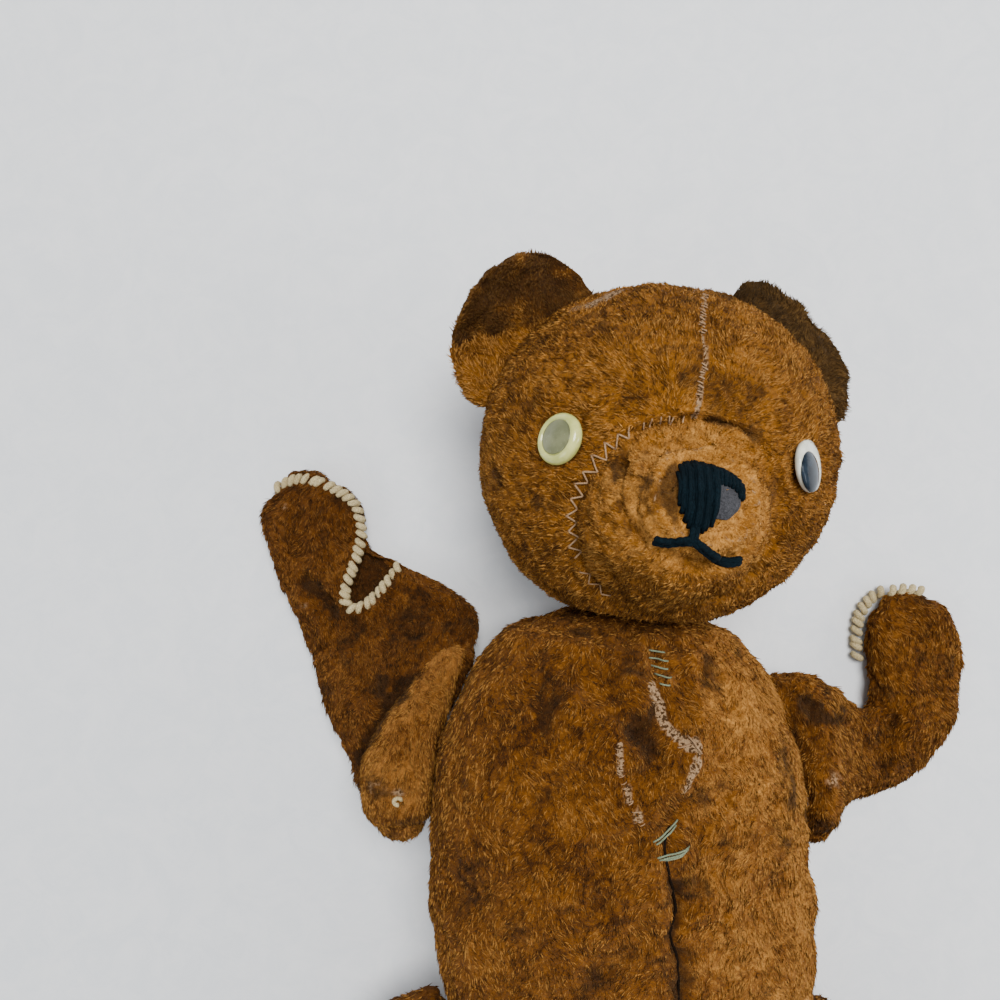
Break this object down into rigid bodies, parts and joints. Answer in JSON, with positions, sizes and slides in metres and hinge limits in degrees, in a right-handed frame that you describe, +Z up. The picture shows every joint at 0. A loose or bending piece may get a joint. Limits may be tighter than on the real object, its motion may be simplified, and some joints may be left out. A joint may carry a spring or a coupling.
{
  "type": "threadbare teddy bear",
  "caption": "Worn, unevenly stuffed plush bear lying on its back, with odd button eyes, a stitched nose and limbs that turn on hidden discs and pins.",
  "frame": {"origin": "the flat of the back where the torso rests, under the middle of the torso", "axes": "+Z up out of the chest, +Y towards the head, +X to the bear's own left"},
  "size_m": [0.3399, 0.4917, 0.1573],
  "materials": {
    "plush": "matted brown pile, worn thin",
    "worn_plush": "darker curled pile, worn and limp",
    "stuffing": "off-white wadding",
    "board": "raw hardboard",
    "steel": "dull steel",
    "felt": "bald grey felt",
    "wool": "blue-black wool",
    "button": "pale yellow-green gloss",
    "china": "off-white gloss",
    "cream": "cream wool yarn"
  },
  "bodies": {
    "torso": {"torso_cover": "plush", "torso_stuffing": "stuffing", "neck_disc_body": "board", "shoulder_disc_body_right": "board", "hip_disc_body_right": "board", "shoulder_disc_body_left": "board", "hip_disc_body_left": "board"},
    "head": {"head_cover": "plush", "head_stuffing": "stuffing", "neck_disc_head": "board", "neck_pin": "steel", "muzzle_cover": "plush", "muzzle_stuffing": "stuffing", "nose_patch": "felt", "nose_stitching": "wool", "philtrum_strand": "wool", "mouth_strand": "wool", "eye_button_right": "button", "eye_button_left": "china", "eye_pupil_left": "wool", "ear_front_right": "plush", "ear_back_right": "plush", "ear_front_left": "plush", "ear_back_left": "plush"},
    "arm_right": {"arm_cover_right": "worn_plush", "arm_stuffing_right": "stuffing", "shoulder_disc_arm_right": "board", "shoulder_pin_right": "steel", "paw_edging_right": "cream", "shoulder_knot_right": "cream"},
    "arm_left": {"arm_cover_left": "worn_plush", "arm_stuffing_left": "stuffing", "shoulder_disc_arm_left": "board", "shoulder_pin_left": "steel", "paw_edging_left": "cream"},
    "leg_right": {"leg_cover_right": "plush", "leg_stuffing_right": "stuffing", "hip_disc_leg_right": "board", "hip_pin_right": "steel", "foot_pad_right": "felt"},
    "leg_left": {"leg_cover_left": "plush", "leg_stuffing_left": "stuffing", "hip_disc_leg_left": "board", "hip_pin_left": "steel", "foot_pad_left": "felt"}
  },
  "joints": [
    {"name": "neck_swivel", "type": "hinge", "parent": "torso", "child": "head", "pos_m": [0.0062, 0.1053, 0.062], "axis": [0.1045, 0.9945, 0], "range_deg": [-60, 60]},
    {"name": "shoulder_right", "type": "hinge", "parent": "torso", "child": "arm_right", "pos_m": [-0.078, 0.023, 0.045], "axis": [1, 0, 0], "range_deg": [0, 120]},
    {"name": "shoulder_left", "type": "hinge", "parent": "torso", "child": "arm_left", "pos_m": [0.078, 0.023, 0.045], "axis": [1, 0, 0], "range_deg": [0, 120]},
    {"name": "hip_right", "type": "hinge", "parent": "torso", "child": "leg_right", "pos_m": [-0.063, -0.09, 0.048], "axis": [-1, 0, 0], "range_deg": [0, 90]},
    {"name": "hip_left", "type": "hinge", "parent": "torso", "child": "leg_left", "pos_m": [0.063, -0.09, 0.048], "axis": [-1, 0, 0], "range_deg": [0, 90]}
  ]
}
